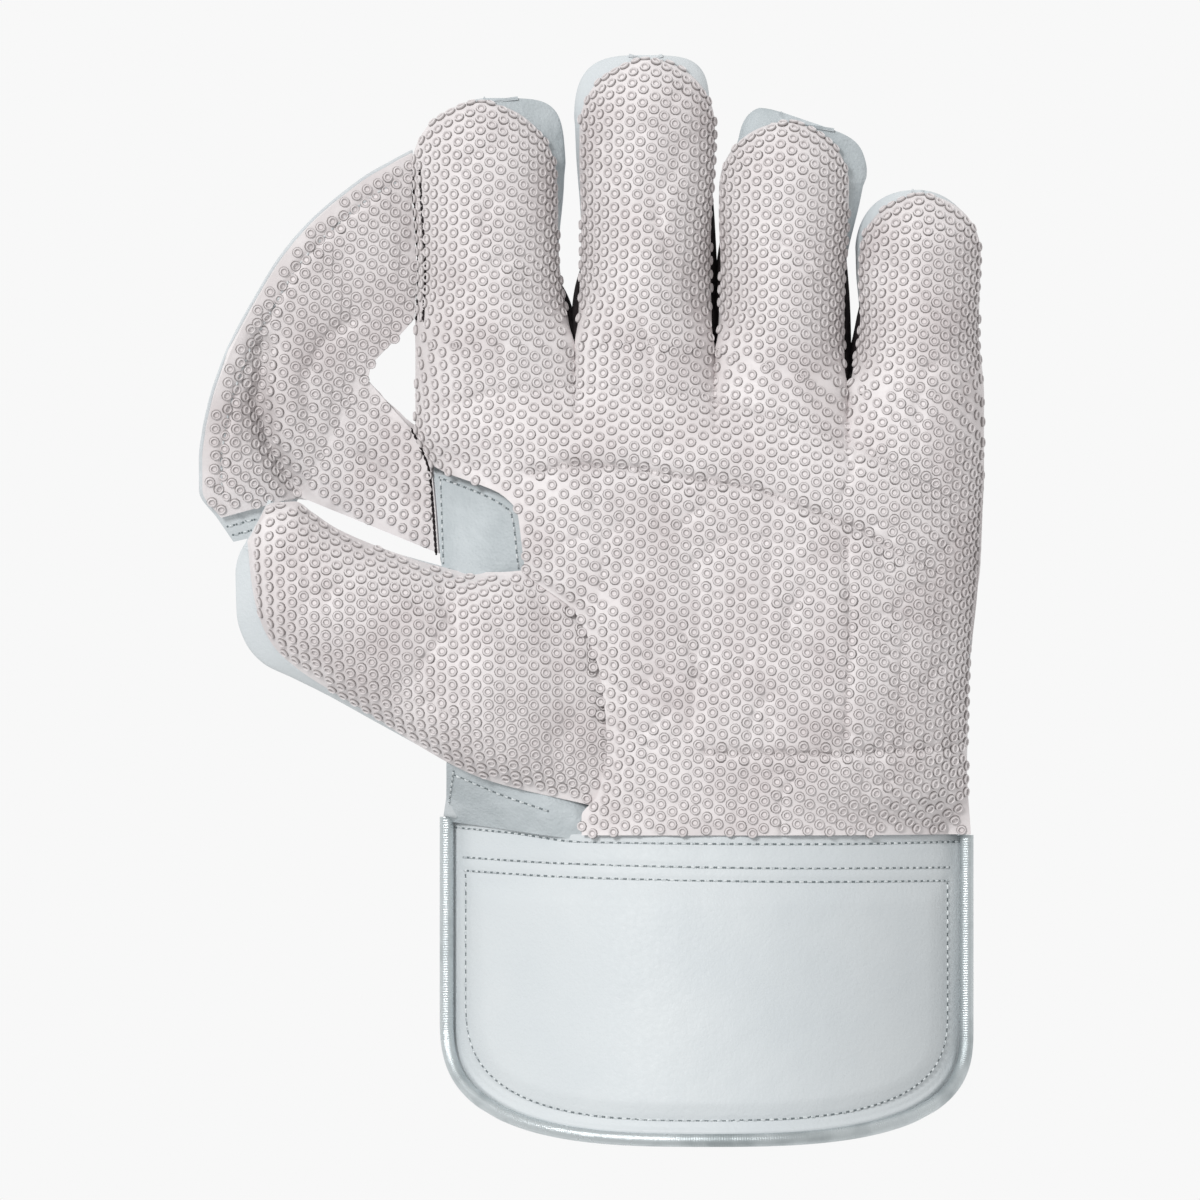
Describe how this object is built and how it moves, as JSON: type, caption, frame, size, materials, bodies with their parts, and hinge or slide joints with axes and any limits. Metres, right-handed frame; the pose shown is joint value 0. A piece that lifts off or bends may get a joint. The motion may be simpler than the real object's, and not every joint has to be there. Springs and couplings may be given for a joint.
{
  "type": "wicketkeeping glove",
  "caption": "Left-hand wicketkeeping glove with a pimpled rubber front, a catching web, a padded leather back and a piped gauntlet cuff.",
  "frame": {"origin": "under the middle of the palm, on the surface that the glove lies on", "axes": "+Y towards the fingertips, +Z out of the palm, +X from the thumb side to the little finger side"},
  "size_m": [0.235, 0.3268, 0.054],
  "materials": {
    "pimpled_rubber": "matte, pimpled",
    "glove_leather": "satin",
    "black_cloth": "matte",
    "piping": "satin, silver"
  },
  "bodies": {
    "root": {"palm_rubber": "pimpled_rubber", "index_rubber": "pimpled_rubber", "middle_rubber": "pimpled_rubber", "ring_rubber": "pimpled_rubber", "little_rubber": "pimpled_rubber", "thumb_rubber": "pimpled_rubber", "web_rubber": "pimpled_rubber", "hand_back": "glove_leather", "index_back": "glove_leather", "middle_back": "glove_leather", "ring_back": "glove_leather", "little_back": "glove_leather", "thumb_back": "glove_leather", "thumb_gusset": "glove_leather", "wrist_patch": "glove_leather", "web_backing": "glove_leather", "fourchette_index_middle": "black_cloth", "fourchette_middle_ring": "black_cloth", "fourchette_ring_little": "black_cloth", "cuff_palm_panel": "glove_leather", "cuff_back_panel": "glove_leather", "cuff_palm_piping": "piping", "cuff_back_piping": "piping"}
  },
  "joints": []
}
